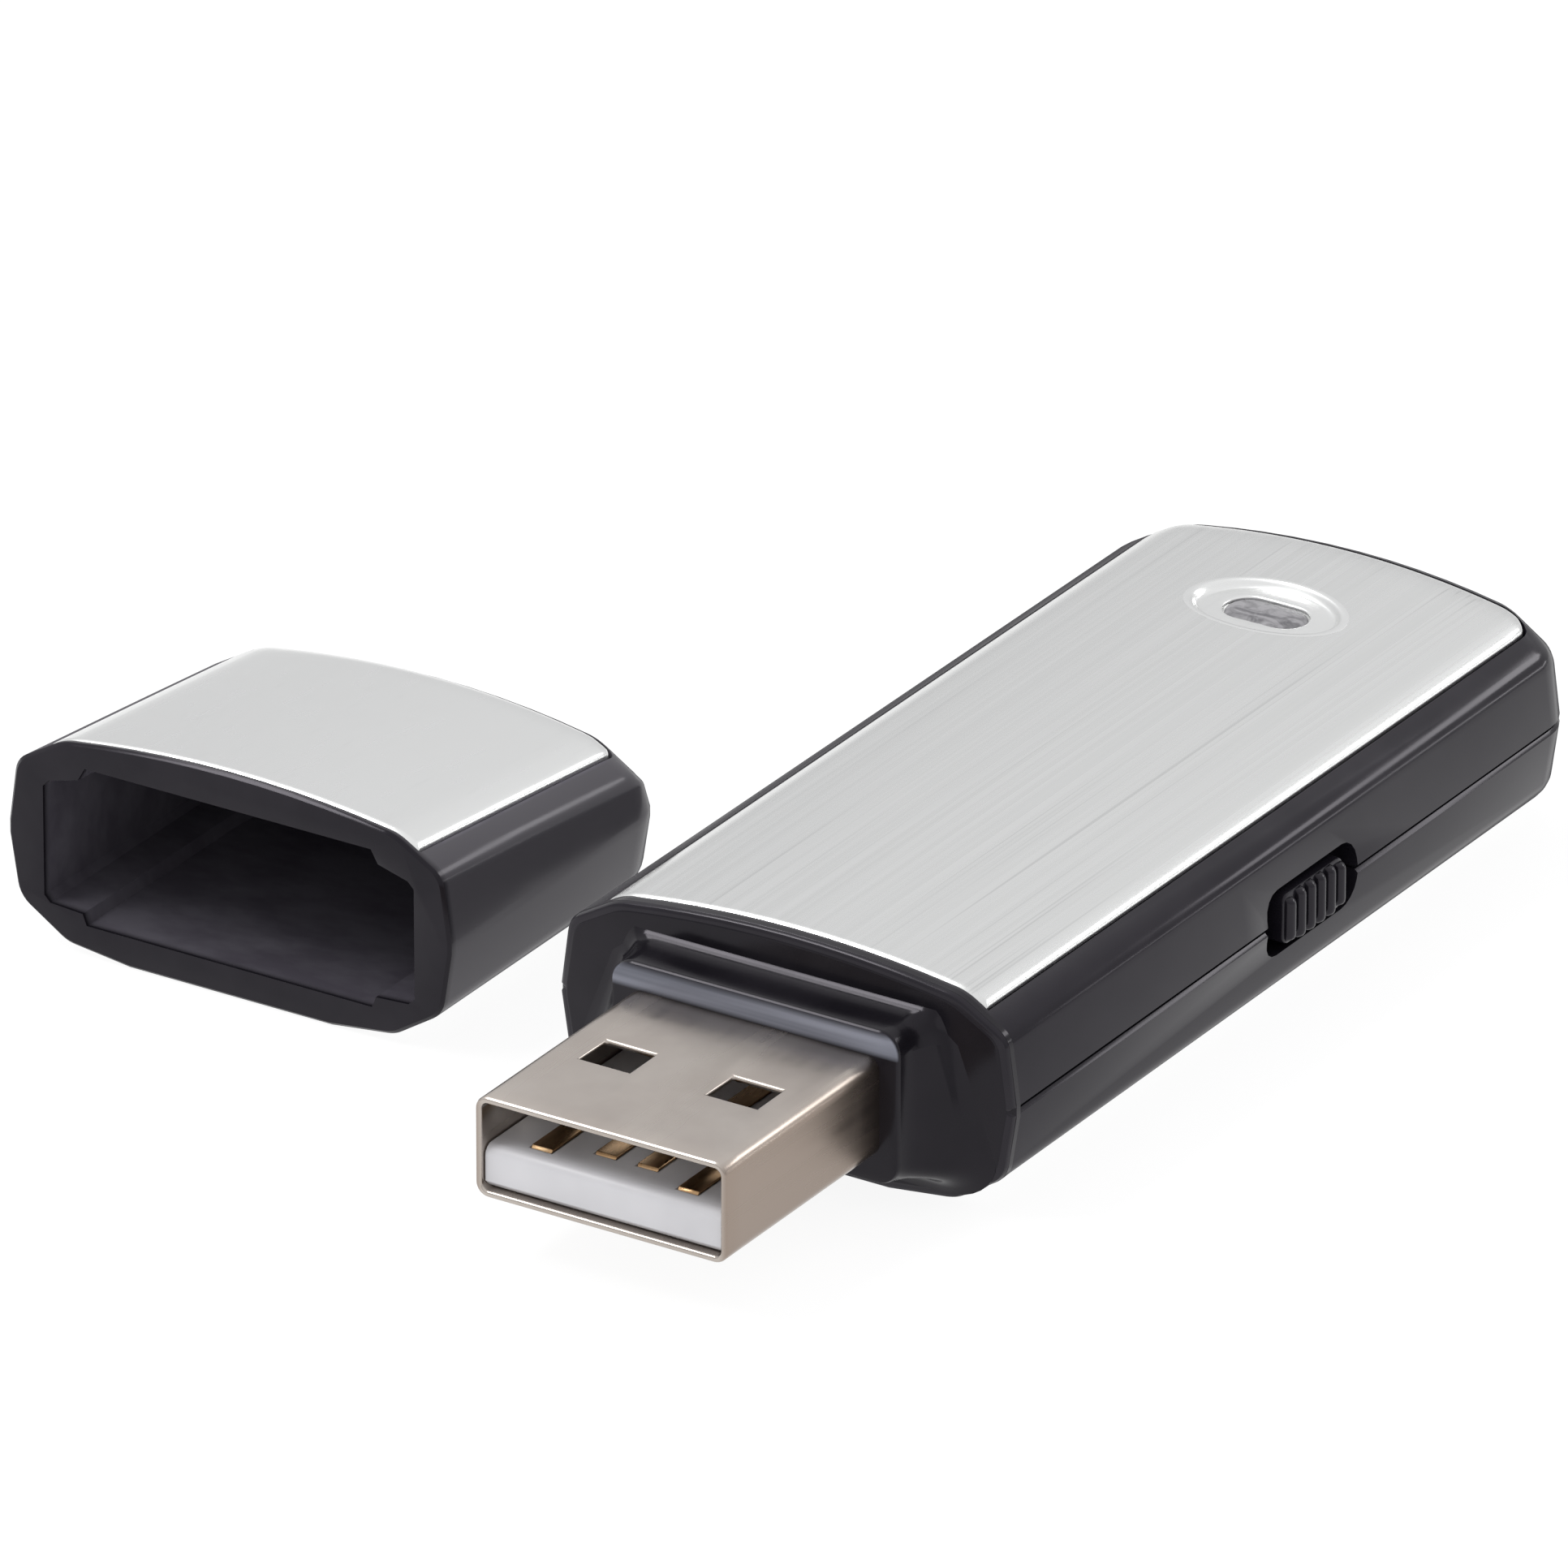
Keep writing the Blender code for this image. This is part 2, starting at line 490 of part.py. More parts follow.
# ---- the cap --------------------------------------------------------------------------
def build_cap(parts, cutters):
    place = Matrix.Translation(Vector((CAP_X, CAP_SET_BACK - LENGTH / 2, BOTTOM_H)) * MM)

    def full_ring(shrink):
        top, bottom = half_section(True)[:-1], half_section(False)[:-1]
        side = [(HALF_W, 0.3), (HALF_W, -0.3)]
        right = top + side + list(reversed(bottom))
        ring = right + [(-x, z) for x, z in reversed(right) if x > 0]
        return [(x * (1 - shrink / HALF_W), z * (1 - shrink / TOP_H)) for x, z in ring]

    rings = []
    for y, shrink in [(0.0, 0.14), (0.14, 0.0)] + [(y, 0.0) for y in stations(CAP_L)]:
        rings.append([shaped(x, y, z, CAP_L, CAP_FALL) for x, z in full_ring(shrink)])
    shell = loft("cap_shell", rings, parts, "case_plastic", place)

    # the hollow: a tall middle for the collar, and a lower wing each side
    mid, wing = 7.05, 9.15
    right = [(mid, 3.6), (mid + 0.35, 3.0), (wing - 0.3, 2.6), (wing, 2.3), (wing, -2.7), (wing - 0.3, -3.0), (mid + 0.2, -3.1), (mid, -3.6)]
    ring = right + [(-x, z) for x, z in reversed(right)]
    hollow = []
    for y, f in ((-1.0, 1.0), (0.0, 1.0), (CAP_DEPTH - 2.4, 1.0), (CAP_DEPTH - 0.8, 0.955), (CAP_DEPTH, 0.90)):
        drop = 0.88 * CAP_FALL * max(y, 0.0) / CAP_L
        hollow.append([(x * f, y, z - drop * min(max(z / SHOULDER_Z, 0.0), 1.0)) for x, z in ring])
    cut(shell, loft("cap_hollow", hollow, cutters, None, place))
    for name, top in (("cap_top_plate", True), ("cap_bottom_plate", False)):
        cut(shell, plate_recess(name + "_recess", top, cutters, CAP_L, CAP_FALL if top else 0.0, CAP_PLATE_FRONT, place))
        plate(name, top, parts, CAP_L, CAP_FALL if top else 0.0, CAP_PLATE_FRONT, place)


def main():
    clear_scene()
    parts, cutters = collection(COLLECTION), collection("cutters")
    build_drive(parts, cutters)
    build_cap(parts, cutters)


main()
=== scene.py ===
"""Looks of the USB flash drive: finer pieces over the frame, procedural materials,
a pale floor, soft studio light and the camera.

The row frame: metres, +Z up, the drive along Y with its plug towards -Y, its slide
switch on the +X side, and the cap lying beside it towards -X.
"""

from math import cos, radians, sin, sqrt, tan

import bmesh
import bpy
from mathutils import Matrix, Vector


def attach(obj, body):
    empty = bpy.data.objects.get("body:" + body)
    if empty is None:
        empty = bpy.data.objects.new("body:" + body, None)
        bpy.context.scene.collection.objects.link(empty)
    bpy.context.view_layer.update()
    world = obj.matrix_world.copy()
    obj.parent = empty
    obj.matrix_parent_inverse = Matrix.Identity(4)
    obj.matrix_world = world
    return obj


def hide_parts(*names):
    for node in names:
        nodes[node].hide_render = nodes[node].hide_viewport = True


MM = 0.001
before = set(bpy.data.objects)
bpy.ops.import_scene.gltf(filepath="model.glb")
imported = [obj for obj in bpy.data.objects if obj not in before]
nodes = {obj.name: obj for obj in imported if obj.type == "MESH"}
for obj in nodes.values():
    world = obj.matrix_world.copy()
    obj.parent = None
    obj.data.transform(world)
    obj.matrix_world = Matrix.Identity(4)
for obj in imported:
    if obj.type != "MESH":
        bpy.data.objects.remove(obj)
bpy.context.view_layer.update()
scene = bpy.context.scene

# ---- sizes the finer pieces share with the frame, in millimetres ------------------
LENGTH, HALF_W, TOP_H, BOTTOM_H = 45.2, 10.9, 5.2, 5.0
TOP_FALL, SHOULDER_Z = 0.2, 3.0
END_R, END_SIDE, END_FACE, END_BOW = 2.4, 2.1, 0.9, 0.5
PLATE_HALF, PLATE_CORNER = 9.2, 1.0
PLATE_FRONT, PLATE_BACK = 0.8, 0.9
PLATE_ROLL, PLATE_THICK, PLATE_PROUD = 0.30, 0.42, 0.012
CROWN_END, FLAT_HALF = (7.6, 4.64), 5.0
SECTION_TOP = [(8.2, 4.56, 2.5), (10.5, 3.2, 1.1)]              # x, z, corner radius
SECTION_BOTTOM = [(10.45, -3.1, 1.3), (8.1, -4.62, 1.6)]
WINDOW_Y, WINDOW_L, WINDOW_W = 37.4, 3.9, 2.2
DISH_L, DISH_W, DISH_DEEP, DISH_SKIN = 7.0, 4.8, 0.30, 0.10
UNDER_DISH = 0.5                                                # how far the plate drops under the dish
CAP_L, CAP_FALL, CAP_END_R, CAP_END_SIDE = 16.2, 1.7, 1.7, 0.45
CAP_PLATE_CORNER, CAP_DEPTH = 0.6, 14.1
CAP_PLATE_FRONT, CAP_PLATE_BACK = 0.4, 0.6
CAP_X, CAP_SET_BACK = -27.4, 0.4
COLLAR_HALF, COLLAR_OUT = 6.9, 2.35
COLLAR_TOP_Z, COLLAR_BOTTOM_Z, PLUG_TOP_Z = 8.4, 1.5, 7.2        # above the table
PLUG_HALF, PLUG_H, PLUG_WALL, PLUG_OUT, PLUG_IN = 6.0, 4.5, 0.3, 11.5, 4.4
PLUG_CORNER, PLUG_BEVEL = 0.6, 0.13
LATCH_BACK, LATCH_X, LATCH_L, LATCH_W = 6.05, 3.04, 2.4, 2.0
FRONT_Y = -LENGTH / 2
PLUG_BACK_Y = FRONT_Y - COLLAR_OUT
CAP_FRONT_Y = FRONT_Y + CAP_SET_BACK
KNOB_Y, KNOB_L, KNOB_H, KNOB_FACE, KNOB_RIBS = 0.7, 4.7, 2.3, 11.25, 6
RIB_HIGH, RIB_WIDE = 0.34, 0.36                                 # the second in parts of a rib's pitch

# Outlines of the finer pieces, as pairs.
# fascia: distance behind the case's front, and how far the case's section is drawn in
FASCIA = [
    (-0.03, 0.42), (-0.015, 0.36), (0.05, 0.24), (0.14, 0.10),
    (0.22, 0.02), (0.26, -0.01), (0.55, -0.01), (0.56, 0.06),
]
# collar: distance behind the case's front, and how far its ring grows
COLLAR = [
    (-COLLAR_OUT, -0.16), (-COLLAR_OUT + 0.03, -0.07), (-COLLAR_OUT + 0.12, -0.01), (-COLLAR_OUT + 0.25, 0.0),
    (-1.5, 0.0), (-1.1, 0.02), (-0.8, 0.07), (-0.5, 0.18),
    (-0.27, 0.36), (-0.12, 0.60), (-0.03, 0.90), (0.6, 0.90),
]
# dish: share of the oval's half axes, and depth under the plate's skin
DISH_RIM = [
    (1.07, -0.016), (1.04, -0.022), (0.985, -0.022), (0.965, 0.005), (0.945, 0.07), (0.925, 0.15),
    (0.905, 0.22), (0.885, 0.265), (0.86, 0.288), (0.83, 0.295), (0.75, DISH_DEEP), (0.66, DISH_DEEP),
]
# the lens's slot: growth over the lens's outline, and depth under the skin
DISH_SLOT = [(0.10, DISH_DEEP), (0.04, 0.31), (0.01, 0.34), (0.0, 0.39), (0.0, 0.56)]
# plug: distance behind the tip, and how far the rim is turned in there
PLUG_RIM = [(0.0, 0.11), (0.02, 0.06), (0.06, 0.025), (0.14, 0.0), (1.2, 0.0)]
# knob: place along a rib's height, and the rib's fullness there
RIB = [
    (-1, 0.05), (-0.97, 0.45), (-0.9, 0.78), (-0.8, 0.95), (-0.65, 1),
    (0.65, 1), (0.8, 0.95), (0.9, 0.78), (0.97, 0.45), (1, 0.05),
]


# ---- material helpers ---------------------------------------------------------------
class Look:
    """A material with a Principled shader, and short ways to feed it from noise."""

    def __init__(self, name, colour, roughness, metallic=0.0, **constants):
        self.material = bpy.data.materials.new(name)
        self.material.use_nodes = True
        self.tree = self.material.node_tree
        self.shader = self.tree.nodes["Principled BSDF"]
        self.set("Base Color", (*colour, 1.0))
        self.set("Roughness", roughness)
        self.set("Metallic", metallic)
        for socket, value in constants.items():
            self.set(socket.replace("_", " "), value)
        self.material.diffuse_color = (*colour, 1.0)
        self.height = None

    def set(self, socket, value):
        self.shader.inputs[socket].default_value = value

    def node(self, kind, **settings):
        made = self.tree.nodes.new(kind)
        for name, value in settings.items():
            setattr(made, name, value)
        return made

    def link(self, output, target):
        self.tree.links.new(output, target)

    def place(self, scale):
        """Object coordinates in units of 1/scale metres along each axis."""
        coords = self.node("ShaderNodeTexCoord")
        mapping = self.node("ShaderNodeMapping")
        mapping.inputs["Scale"].default_value = scale
        self.link(coords.outputs["Object"], mapping.inputs["Vector"])
        return mapping.outputs["Vector"]

    def axes(self):
        """Object coordinates in metres, as separate X, Y and Z."""
        coords, split = self.node("ShaderNodeTexCoord"), self.node("ShaderNodeSeparateXYZ")
        self.link(coords.outputs["Object"], split.inputs["Vector"])
        return split.outputs["X"], split.outputs["Y"], split.outputs["Z"]

    def noise(self, scale, detail=3.0, roughness=0.5, distortion=0.0):
        made = self.node("ShaderNodeTexNoise")
        made.inputs["Scale"].default_value = 1.0
        made.inputs["Detail"].default_value = detail
        made.inputs["Roughness"].default_value = roughness
        made.inputs["Distortion"].default_value = distortion
        self.link(self.place(scale), made.inputs["Vector"])
        return made.outputs["Fac"]

    def spread(self, value, low, high, out_low=0.0, out_high=1.0):
        """Value from low to high, taken to out_low to out_high and held there."""
        made = self.node("ShaderNodeMapRange")
        ends = {"From Min": low, "From Max": high, "To Min": out_low, "To Max": out_high}
        for name, number in ends.items():
            made.inputs[name].default_value = number
        self.link(value, made.inputs["Value"])
        return made.outputs["Result"]

    def maths(self, operation, a, b):
        made = self.node("ShaderNodeMath", operation=operation)
        for socket, value in zip(made.inputs, (a, b)):
            if isinstance(value, (int, float)):
                socket.default_value = value
            else:
                self.link(value, socket)
        return made.outputs[0]

    def mix(self, factor, a, b):
        made = self.node("ShaderNodeMix", data_type="RGBA")
        colours = [s for s in made.inputs if s.type == "RGBA"]
        self.link(factor, made.inputs[0])
        for socket, value in zip(colours, (a, b)):
            if isinstance(value, tuple):
                socket.default_value = (*value, 1.0)
            else:
                self.link(value, socket)
        return next(s for s in made.outputs if s.type == "RGBA")

    def colour(self, output):
        self.link(output, self.shader.inputs["Base Color"])

    def painted(self):
        """The output that feeds the base colour so far."""
        return self.shader.inputs["Base Color"].links[0].from_socket

    def rough(self, output):
        self.link(output, self.shader.inputs["Roughness"])

    def bump(self, height, distance, strength=1.0):
        made = self.node("ShaderNodeBump")
        made.inputs["Strength"].default_value = strength
        made.inputs["Distance"].default_value = distance
        self.link(height, made.inputs["Height"])
        if self.height is not None:
            self.link(self.height, made.inputs["Normal"])
        self.height = made.outputs["Normal"]
        self.link(self.height, self.shader.inputs["Normal"])


def brushed_aluminium(name, depth, tone):
    """Aluminium brushed along Y; depth is how strongly the brushing shows, tone its mean colour."""

    def grey(level, red, green, blue):
        return level + red, level + green, level + blue

    look = Look(name, (0.72, 0.725, 0.715), 0.27, 1.0)
    fine = look.noise((4600, 22, 4600), 1.0, 0.5)
    broad = look.noise((1900, 10, 1900), 2.0, 0.5)
    hairs = look.noise((5200, 20, 5200), 1.0, 0.5)
    cloud = look.noise((70, 30, 70), 2.0)
    streak = look.maths("ADD", look.maths("MULTIPLY", fine, 0.6), look.maths("MULTIPLY", broad, 0.4))
    low = grey(tone - 0.016 * depth, 0.0, 0.006, -0.003)
    high = grey(tone + 0.018 * depth, 0.0, 0.005, -0.003)
    brushed = look.mix(look.spread(streak, 0.36, 0.64), low, high)
    brushed = look.mix(look.spread(cloud, 0.35, 0.7, 0.0, 0.5), brushed, grey(tone, 0.006, 0.011, 0.003))
    scratched = grey(tone, -0.12, -0.115, -0.12)
    look.colour(look.mix(look.spread(hairs, 0.63, 0.74, 0.0, 0.8 * depth), brushed, scratched))
    look.rough(look.spread(streak, 0.35, 0.65, 0.27 - 0.03 * depth, 0.27 + 0.03 * depth))
    look.bump(streak, 1.2e-6, 0.25 * depth)
    return look.material


def plastic(name, dark, light, smooth, worn, ior):
    """Dark moulded plastic with a fine grain and smudges, duller where it is seen at a slant."""
    look = Look(name, dark, smooth, 0.0, IOR=ior, Specular_Tint=(0.96, 0.91, 1.0, 1.0))
    smudge = look.noise((260, 150, 260), 3.0, 0.6)
    grain = look.noise((5200, 5200, 5200), 2.0)
    look.colour(look.mix(look.spread(smudge, 0.35, 0.7), dark, light))
    facing = look.node("ShaderNodeLayerWeight").outputs["Facing"]
    soft = look.spread(facing, 0.72, 0.92, 0.0, 0.55)
    look.rough(look.maths("ADD", look.spread(smudge, 0.3, 0.75, smooth, worn), soft))
    look.bump(grain, 1.2e-6, 0.3)
    return look


CASE_TONES = (0.0070, 0.0062, 0.0088), (0.0125, 0.0112, 0.0145)
# darker tones for the collar and the front fascia: painted shade on the case's plastic
COLLAR_PAINTED_SHADE_TONES = (0.0048, 0.0042, 0.0060), (0.0085, 0.0075, 0.0100)
GLOSS = 0.13, 0.23                                              # roughness, clean and smudged
HOLLOW_HALF_X, HOLLOW_MID_Z, HOLLOW_HALF_Z = 9.4, 4.9, 3.9       # the cap's hollow, in millimetres


def case_plastic():
    return plastic("case_plastic", *CASE_TONES, *GLOSS, 1.37).material


def cap_plastic_painted_light():
    """The case's plastic, with painted light: greyer behind the cap's mouth and paler in its hollow."""
    look = plastic("cap_plastic_painted_light", *CASE_TONES, *GLOSS, 1.31)
    base = look.painted()
    x, y, z = look.axes()
    away = look.maths("ABSOLUTE", look.maths("SUBTRACT", x, CAP_X * MM), 0.0)
    up = look.maths("ABSOLUTE", look.maths("SUBTRACT", z, HOLLOW_MID_Z * MM), 0.0)
    beside = look.spread(away, HOLLOW_HALF_X * MM, (HOLLOW_HALF_X - 0.1) * MM)
    within = look.maths("MULTIPLY", beside, look.spread(up, HOLLOW_HALF_Z * MM, (HOLLOW_HALF_Z - 0.1) * MM))
    # painted lighter tone: the cap behind its mouth is greyer than the case's plastic
    painted_grey_behind_mouth = look.spread(y, (CAP_FRONT_Y + 0.1) * MM, (CAP_FRONT_Y + 0.5) * MM)
    shut = look.spread(y, (CAP_FRONT_Y + CAP_DEPTH + 0.5) * MM, (CAP_FRONT_Y + CAP_DEPTH + 0.1) * MM)
    inside = look.maths("MULTIPLY", look.maths("MULTIPLY", within, painted_grey_behind_mouth), shut)
    # painted light: a pale drifting grey over the inside of the cap's hollow
    drift = look.noise((300, 500, 300), 3.0, 0.6)
    pale = look.mix(look.spread(drift, 0.35, 0.65), (0.060, 0.055, 0.068), (0.085, 0.080, 0.095))
    look.colour(look.mix(inside, look.mix(painted_grey_behind_mouth, base, (0.058, 0.055, 0.062)), pale))
    return look.material


def collar_plastic_painted_light():
    """The case's plastic in darker tones, which paint shade on the front face, with a painted highlight: the
    pale band that the collar's front shows over the plug.
    """
    look = plastic("collar_plastic_painted_light", *COLLAR_PAINTED_SHADE_TONES, *GLOSS, 1.32)
    base = look.painted()
    _, y, z = look.axes()
    # painted highlight: a band on the collar's front face, above the plug and below the collar's top
    front = look.spread(y, (PLUG_BACK_Y + 0.10) * MM, (PLUG_BACK_Y + 0.02) * MM)
    above = look.spread(z, PLUG_TOP_Z * MM, (PLUG_TOP_Z + 0.25) * MM)
    below = look.spread(z, (COLLAR_TOP_Z - 0.05) * MM, (COLLAR_TOP_Z - 0.35) * MM)
    painted_highlight_mask = look.maths("MULTIPLY", front, look.maths("MULTIPLY", above, below))
    sweep = look.noise((60, 400, 1500), 2.0)
    # the painted highlight's pale bluish greys, streaked across
    pale = look.mix(look.spread(sweep, 0.35, 0.65), (0.13, 0.137, 0.165), (0.24, 0.25, 0.295))
    look.colour(look.mix(painted_highlight_mask, base, pale))
    return look.material


def plug_steel():
    """Nickelled steel, with a painted dark reflection: browner on the plug's two side faces."""
    look = Look("plug_nickel_painted_reflection", (0.56, 0.52, 0.48), 0.24, 1.0)
    roll = look.noise((900, 60, 900), 3.0, 0.55)
    haze = look.noise((230, 230, 230), 3.0, 0.6)
    tone = look.mix(look.spread(haze, 0.3, 0.7), (0.445, 0.398, 0.360), (0.515, 0.470, 0.428))
    # painted dark reflection on the plug's two side faces
    away = look.maths("ABSOLUTE", look.axes()[0], 0.0)
    side = look.spread(away, (PLUG_HALF - 0.35) * MM, (PLUG_HALF - 0.02) * MM)
    look.colour(look.mix(side, tone, (0.310, 0.252, 0.212)))
    look.rough(look.spread(roll, 0.3, 0.7, 0.19, 0.31))
    look.bump(roll, 4e-6, 0.3)
    return look.material


def white_plastic():
    look = Look("white_plastic", (0.56, 0.555, 0.575), 0.42, 0.0)
    flow = look.noise((300, 300, 300), 2.0)
    grain = look.noise((3600, 3600, 3600), 2.0)
    look.colour(look.mix(look.spread(flow, 0.3, 0.7), (0.55, 0.545, 0.565), (0.63, 0.625, 0.645)))
    look.rough(look.spread(flow, 0.3, 0.7, 0.33, 0.46))
    look.bump(grain, 2e-6, 0.3)
    return look.material


def contact_gold():
    look = Look("contact_gold", (0.72, 0.50, 0.24), 0.26, 1.0)
    wear = look.noise((1400, 300, 1400), 3.0, 0.6)
    # dark browner gold: a painted reflection of the shell's underside, with tone that varies at random
    look.colour(look.mix(look.spread(wear, 0.35, 0.65), (0.40, 0.25, 0.13), (0.58, 0.40, 0.23)))
    look.rough(look.spread(wear, 0.3, 0.7, 0.2, 0.36))
    look.bump(wear, 3e-6, 0.3)
    return look.material


def smoked_window():
    look = Look("smoked_window", (0.20, 0.20, 0.21), 0.5, 0.0, IOR=1.25)
    cloud = look.noise((900, 1700, 900), 4.0, 0.65, 0.6)
    look.colour(look.mix(look.spread(cloud, 0.40, 0.60), (0.12, 0.118, 0.125), (0.27, 0.265, 0.275)))
    look.rough(look.spread(cloud, 0.3, 0.7, 0.26, 0.46))
    look.bump(cloud, 8e-6, 0.4)
    return look.material


def board_green():
    look = Look("board_green", (0.02, 0.15, 0.06), 0.42, 0.0)
    weave = look.noise((2500, 2500, 400), 2.0)
    tracks = look.node("ShaderNodeTexBrick")
    tracks.inputs["Scale"].default_value = 1.0
    look.link(look.place((900, 420, 900)), tracks.inputs["Vector"])
    copper = look.spread(tracks.outputs["Fac"], 0.0, 1.0)
    look.colour(look.mix(copper, (0.015, 0.12, 0.05), (0.04, 0.24, 0.10)))
    look.rough(look.spread(weave, 0.3, 0.7, 0.34, 0.5))
    look.bump(weave, 3e-6, 0.3)
    return look.material


def chip_black():
    look = Look("chip_black", (0.02, 0.02, 0.022), 0.5, 0.0)
    grain = look.noise((3800, 3800, 3800), 3.0, 0.6)
    look.colour(look.mix(look.spread(grain, 0.3, 0.7), (0.014, 0.014, 0.016), (0.035, 0.035, 0.038)))
    look.rough(look.spread(grain, 0.3, 0.7, 0.42, 0.6))
    look.bump(grain, 5e-6, 0.5)
    return look.material


def ceramic():
    look = Look("ceramic", (0.50, 0.36, 0.24), 0.5, 0.0)
    grain = look.noise((2600, 2600, 2600), 3.0, 0.6)
    look.colour(look.mix(look.spread(grain, 0.3, 0.7), (0.42, 0.29, 0.18), (0.58, 0.44, 0.31)))
    look.rough(look.spread(grain, 0.3, 0.7, 0.42, 0.6))
    look.bump(grain, 4e-6, 0.4)
    return look.material


ALUMINIUM = brushed_aluminium("brushed_aluminium", 1.0, 0.705)
SATIN = brushed_aluminium("satin_aluminium", 0.15, 0.775)
PLASTIC, COLLAR_PLASTIC, CAP_PLASTIC = case_plastic(), collar_plastic_painted_light(), cap_plastic_painted_light()
STEEL, GOLD = plug_steel(), contact_gold()
WHITE, WINDOW = white_plastic(), smoked_window()
BOARD, CHIP, CERAMIC = board_green(), chip_black(), ceramic()

# the frame's nodes that stay in sight
LOOKS = {
    ALUMINIUM: ("bottom_plate",),
    SATIN: ("cap_bottom_plate",),
    PLASTIC: ("upper_case", "lower_case"),
    CAP_PLASTIC: ("cap_shell",),
    STEEL: ("crystal",),
    WHITE: ("plug_tongue", "switch_lever", "status_led"),
    GOLD: ("contact_power", "contact_data_minus", "contact_data_plus", "contact_ground"),
    WINDOW: ("status_window",),
    BOARD: ("circuit_board",),
    CHIP: ("controller_chip", "memory_chip", "switch_housing", "resistor_1", "resistor_2"),
    CERAMIC: ("capacitor_1", "capacitor_2"),
}


def new_piece(name, verts, faces, look, body, *replaced, smooth=40.0, bevel=None):
    """A closed mesh in millimetres of the row frame, shaded smooth, riding on a body."""
    bm = bmesh.new()
    made = [bm.verts.new(Vector(v) * MM) for v in verts]
    for face in faces:
        bm.faces.new([made[i] for i in face])
    bmesh.ops.remove_doubles(bm, verts=bm.verts, dist=1e-7)
    bmesh.ops.recalc_face_normals(bm, faces=bm.faces)
    mesh = bpy.data.meshes.new(name)
    bm.to_mesh(mesh)
    bm.free()
    mesh.materials.append(look)
    item = bpy.data.objects.new(name, mesh)
    scene.collection.objects.link(item)
    for polygon in mesh.polygons:
        polygon.use_smooth = True
    if bevel:
        edge = item.modifiers.new("bevel", "BEVEL")
        edge.width, edge.segments = bevel * MM, 3
        edge.limit_method, edge.angle_limit = "ANGLE", radians(40)
    split = item.modifiers.new("edges", "EDGE_SPLIT")
    split.split_angle = radians(smooth)
    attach(item, body)
    if replaced:
        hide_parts(*replaced)
    return item


def rings_to_mesh(rings):
    """A closed body from rings of points, one behind the other, with a face over each end."""
    n = len(rings[0])
    verts = [p for ring in rings for p in ring]
    faces = [tuple(range(n)), tuple(range((len(rings) - 1) * n, len(rings) * n))]
    for r in range(len(rings) - 1):
        for i in range(n):
            j = (i + 1) % n
            faces.append((r * n + i, r * n + j, (r + 1) * n + j, (r + 1) * n + i))
    return verts, faces


def grid_to_mesh(rows):
    """A closed body from rows of (outer point, inner point) pairs."""
    n, m = len(rows), len(rows[0])
    verts = [pair[side] for side in (0, 1) for row in rows for pair in row]

    def at(side, r, c):
        return side * n * m + r * m + c

    faces = []
    for r in range(n - 1):
        for c in range(m - 1):
            for side in (0, 1):
                faces.append((at(side, r, c), at(side, r, c + 1), at(side, r + 1, c + 1), at(side, r + 1, c)))
    for r in range(n - 1):
        for c in (0, m - 1):
            faces.append((at(0, r, c), at(0, r + 1, c), at(1, r + 1, c), at(1, r, c)))
    for c in range(m - 1):
        for r in (0, n - 1):
            faces.append((at(0, r, c), at(0, r, c + 1), at(1, r, c + 1), at(1, r, c)))
    return verts, faces


def rounded(corners, steps=10):
    """A run of points through (x, y, radius) corners, each turned in an arc; the two ends stay sharp."""
    out = []
    for i, (x, y, r) in enumerate(corners):
        here = Vector((x, y))
        if r == 0 or i in (0, len(corners) - 1):
            out.append((x, y))
            continue
        a = (Vector(corners[i - 1][:2]) - here).normalized()
        b = (Vector(corners[i + 1][:2]) - here).normalized()
        half = a.angle(b) / 2
        centre = here + (a + b).normalized() * (r / sin(half))
        start, end = here + a * (r / tan(half)), here + b * (r / tan(half))
        for k in range(steps + 1):
            spoke = (start - centre).lerp(end - centre, k / steps).normalized()
            out.append(tuple(centre + spoke * r))
    return out


def crown(x):
    """Height of the top's shallow arc over x, which ends at CROWN_END."""
    rise = TOP_H - CROWN_END[1]
    radius = (CROWN_END[0] ** 2 + rise**2) / (2 * rise)
    return TOP_H - radius + sqrt(radius**2 - x**2)


TOP_RUN = rounded([(x * 0.4, crown(x * 0.4), 0) for x in range(19)]
                  + [(*CROWN_END, 0)] + SECTION_TOP + [(HALF_W, 0.3, 0)])


def skin(x):
    """Height of the top's skin at x, and its outward normal, both in the section."""
    side, run = (1 if x >= 0 else -1), TOP_RUN
    for (x0, z0), (x1, z1) in zip(run, run[1:]):
        if x0 <= abs(x) <= x1 and x1 > x0:
            f = (abs(x) - x0) / (x1 - x0)
            edge = Vector((x1 - x0, z1 - z0)).normalized()
            return z0 + (z1 - z0) * f, Vector((side * -edge.y, edge.x))
    raise ValueError(x)


def shaped(x, y, z, length, fall):
    """A point of the straight section, after the body's far end is rounded, bowed and lowered."""
    end_r, end_side = (CAP_END_R, CAP_END_SIDE) if length == CAP_L else (END_R, END_SIDE)
    t = min(max((y - (length - end_r)) / end_r, 0.0), 1.0)
    draw = 1 - sqrt(1 - t * t)
    z *= 1 - draw * END_FACE / TOP_H
    x *= 1 - draw * end_side / HALF_W
    z -= fall * y / length * min(max(z / SHOULDER_Z, 0.0), 1.0)
    late = max(0.0, (y - length * 0.4) / (length * 0.6))
    return x, y - END_BOW * late**2 * (x / HALF_W) ** 2, z


def ease(value, low, high):
    """0 at low and 1 at high, with a soft start and stop."""
    t = min(max((value - low) / (high - low), 0.0), 1.0)
    return t * t * (3 - 2 * t)


